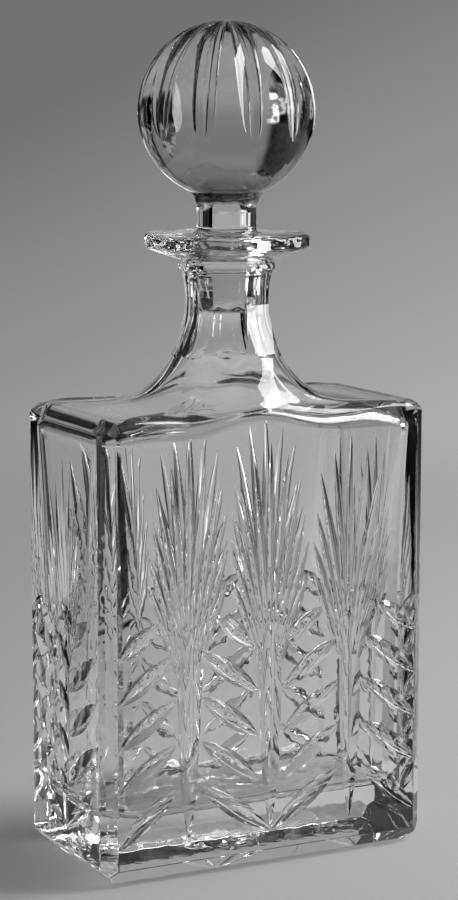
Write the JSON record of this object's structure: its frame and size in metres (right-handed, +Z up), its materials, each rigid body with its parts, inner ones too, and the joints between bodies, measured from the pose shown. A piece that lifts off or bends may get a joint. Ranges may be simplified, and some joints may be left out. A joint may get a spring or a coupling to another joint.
{
  "type": "rectangular decanter",
  "caption": "Rectangular cut-glass spirit decanter with a short flared neck, a flat scalloped lip and a ball stopper that lifts out.",
  "frame": {"origin": "middle of the flat foot, on the surface that the decanter stands on", "axes": "+Z up along the neck and the stopper; +X along the width, so the wide cut faces look along -Y and +Y; -Y is the face seen in front"},
  "size_m": [0.12, 0.0632, 0.2774],
  "materials": {
    "bottle_glass": "clear polished cut glass",
    "stopper_glass": "clear polished cut glass"
  },
  "bodies": {
    "bottle": {"decanter_bottle": "bottle_glass"},
    "stopper": {"ball_stopper": "stopper_glass"}
  },
  "joints": [
    {"name": "stopper_lift", "type": "slide", "parent": "bottle", "child": "stopper", "axis": [0, 0, 1], "range_m": [0, 0.032]}
  ]
}
